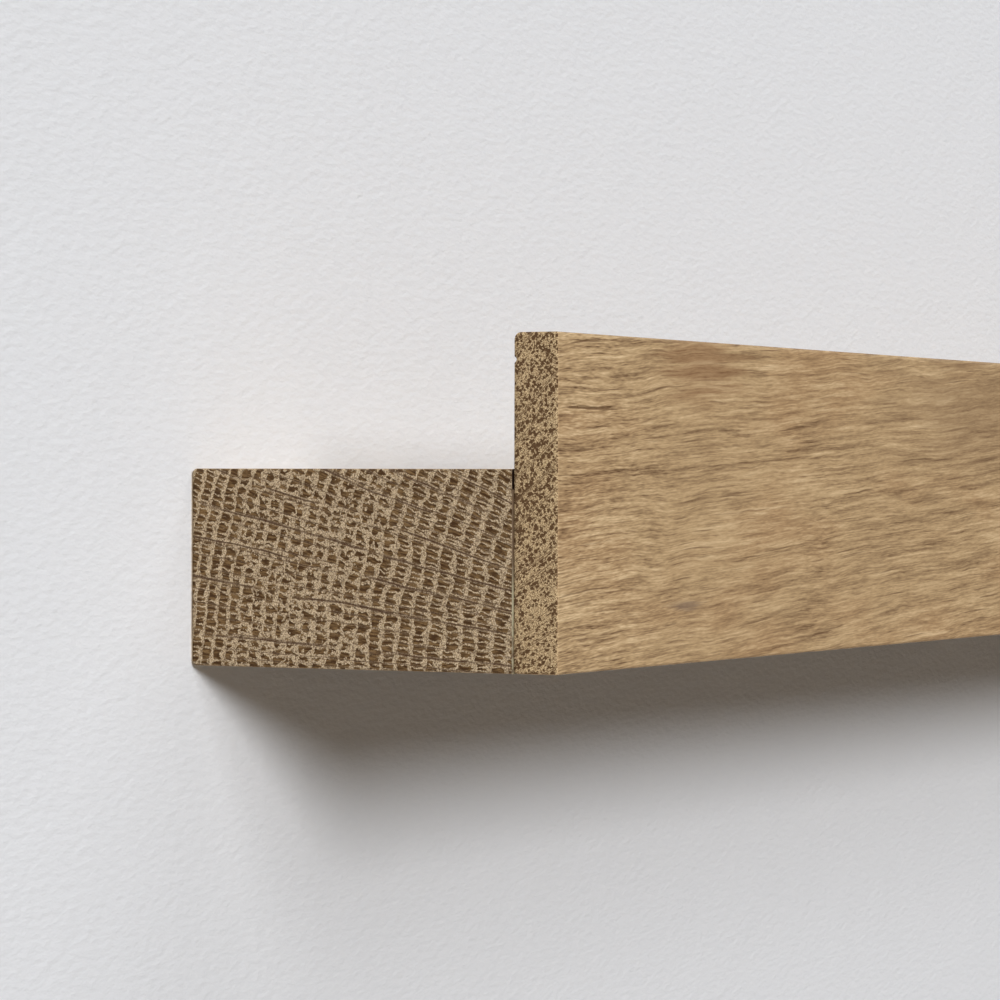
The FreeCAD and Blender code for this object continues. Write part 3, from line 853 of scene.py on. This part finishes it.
def wall_paint():
    """White rolled plaster, seen from the room only.

    It is clear from behind. It also lets through light that reaches a back lying close against it, so that
    the backs of the ledge and its plates are lit at every pose."""
    g = Graph("wall_paint")
    x, _, z = g.split(g.place())
    peel = g.noise(g.vector(g.mul(x, 0.38), g.mul(z, 0.85), 0.0))
    swell = g.noise(g.vector(g.mul(x, 0.05), g.mul(z, 0.06), 2.0))
    normal = g.bump(g.add(peel, g.mul(swell, 1.2)), 0.2 * MM)
    inputs = {"Base Color": srgb(233, 235, 239), "Roughness": 0.8, "Normal": normal}
    front = g.node("ShaderNodeBsdfPrincipled", inputs).outputs[0]
    clear = g.node("ShaderNodeBsdfTransparent").outputs[0]
    behind = g.node("ShaderNodeNewGeometry").outputs["Backfacing"]
    close = 0.75 * MM
    against = g.math("LESS_THAN", g.node("ShaderNodeLightPath").outputs["Ray Length"], close)
    return g.finish_mixed(g.either(behind, against), front, clear)


# The wall and the floor meet far below the ledge and run well past what the camera sees.
FLOOR_LEVEL, WALL_TOP, WALL_REACH, FLOOR_REACH = -2.5, 4.0, 6.0, 40.0


def stage_sheet(name, corners, material):
    """A flat sheet of the stage."""
    mesh = bmesh.new()
    mesh.faces.new([mesh.verts.new(corner) for corner in corners])
    sheet = to_object(mesh, name)
    wear(sheet, material)


def make_wall():
    """The wall that the ledge hangs on, a little clear of the block's back."""
    level = 0.3 * MM
    low, high = FLOOR_LEVEL, WALL_TOP
    across = ((-WALL_REACH, low), (WALL_REACH, low), (WALL_REACH, high), (-WALL_REACH, high))
    stage_sheet("wall", [(x, level, z) for x, z in across], wall_paint())


def floor_paint():
    """Plain and pale. It looks pale, and sends back a dimmer and warmer light."""
    g = Graph("floor_paint")
    cloud = g.noise(g.place(1.0), 3.0)
    warm = g.tint(cloud, srgb(166, 155, 141), srgb(174, 163, 149))
    matt = g.node("ShaderNodeBsdfPrincipled", {"Base Color": warm, "Roughness": g.span(cloud, 0.7, 0.8)})
    pale = g.node("ShaderNodeEmission", {"Color": g.tint(cloud, srgb(206, 206, 207), srgb(216, 216, 217))})
    seen = g.node("ShaderNodeLightPath").outputs["Is Camera Ray"]
    return g.finish_mixed(seen, matt.outputs[0], pale.outputs[0])


def make_floor():
    """A plain pale floor well below the ledge."""
    size = FLOOR_REACH
    sides = ((-size, -size), (size, -size), (size, size), (-size, size))
    stage_sheet("floor", [(x, y, FLOOR_LEVEL) for x, y in sides], floor_paint())


def aim(thing, place, target):
    """Puts a lamp or camera at a place and turns it to a target."""
    thing.location = place
    thing.rotation_euler = (Vector(target) - Vector(place)).to_track_quat("-Z", "Y").to_euler()


def soft_lamp(name, place, target, width, height, power):
    """An oval softbox, which doesn't show itself."""
    lamp = bpy.data.lights.new(name, "AREA")
    lamp.shape = "ELLIPSE"
    lamp.size, lamp.size_y = width, height
    lamp.energy = power
    made = bpy.data.objects.new(name, lamp)
    made.visible_camera = False
    bpy.context.scene.collection.objects.link(made)
    aim(made, place, target)
    return made


def make_lights():
    """A wide soft sun from the upper left, and two softboxes above.

    Two more softboxes light the back, from behind the wall, and the right end of the two boards."""
    sun = bpy.data.lights.new("key", "SUN")
    sun.energy, sun.angle = 2.28, math.radians(16.2)
    key = bpy.data.objects.new("key", sun)
    bpy.context.scene.collection.objects.link(key)
    aim(key, (-2.83, -3.85, 1.58), (0, 0, 0))
    left_end = Vector((block_low.x, lip_low.y, 0))
    soft_lamp("upper", left_end + Vector((-1.7, -2.9, 2.2)), left_end, 1.6, 1.5, 34)
    soft_lamp("overhead", left_end + Vector((0.9, -1.7, 2.6)), left_end, 2.2, 1.6, 17)
    soft_lamp("behind", (0.8, 1.8, 1.2), (0, 0, 0), 1.8, 1.8, 60)

    # No wider than the ledge is deep, so that it lights the end and not the front.
    right_end = Vector((block_high.x, lip_low.y / 2, 0))
    side_lamp = soft_lamp("side", right_end + Vector((0.8, 0, 0.12)), right_end, 0.05, 0.3, 2.6)
    boards = bpy.data.collections.new("boards")
    for name in ("shelf_block_oak", "front_lip_oak"):
        boards.objects.link(bpy.data.objects[name])
    side_lamp.light_linking.receiver_collection = boards


def make_room():
    """A room that looks pale, and gives the ledge only a little light."""
    given, shown = 0.02, 0.72
    room = bpy.data.worlds.new("room")
    room.use_nodes = True
    tree = room.node_tree
    seen = tree.nodes.new("ShaderNodeLightPath").outputs["Is Camera Ray"]
    strength = tree.nodes.new("ShaderNodeMapRange")
    strength.inputs["To Min"].default_value = given
    strength.inputs["To Max"].default_value = shown
    tree.links.new(seen, strength.inputs["Value"])
    background = tree.nodes["Background"]
    background.inputs["Color"].default_value = srgb(248, 250, 255)
    tree.links.new(strength.outputs[0], background.inputs["Strength"])
    bpy.context.scene.world = room


def make_camera():
    """The camera, nearly level with the block, looks along the wall from beyond the block's left end."""
    yaw, pitch, roll = (math.radians(a) for a in (27.66, -0.318, 0.142))
    from_corner = Vector((-534.6, -333.2, 28.8)) * MM
    sensor, lens_per_sensor = 36, 4.124
    ahead = Vector((math.cos(yaw) * math.cos(pitch), math.sin(yaw) * math.cos(pitch), math.sin(pitch)))
    level = Vector((math.sin(yaw), -math.cos(yaw), 0))
    up = level.cross(ahead)
    right = level * math.cos(roll) + up * math.sin(roll)
    up = up * math.cos(roll) - level * math.sin(roll)
    optics = bpy.data.cameras.new("camera")
    optics.sensor_width = sensor
    optics.lens = sensor * lens_per_sensor
    optics.clip_start, optics.clip_end = 0.01, 50
    camera = bpy.data.objects.new("camera", optics)
    bpy.context.scene.collection.objects.link(camera)
    corner = Vector((block_low.x, block_high.y, block_low.z))
    turn = Matrix((right, up, -ahead)).transposed().to_4x4()
    camera.matrix_world = Matrix.Translation(corner + from_corner) @ turn
    bpy.context.scene.camera = camera


make_wall()
make_floor()
make_lights()
make_room()
make_camera()
bpy.context.scene.view_settings.view_transform = "Standard"
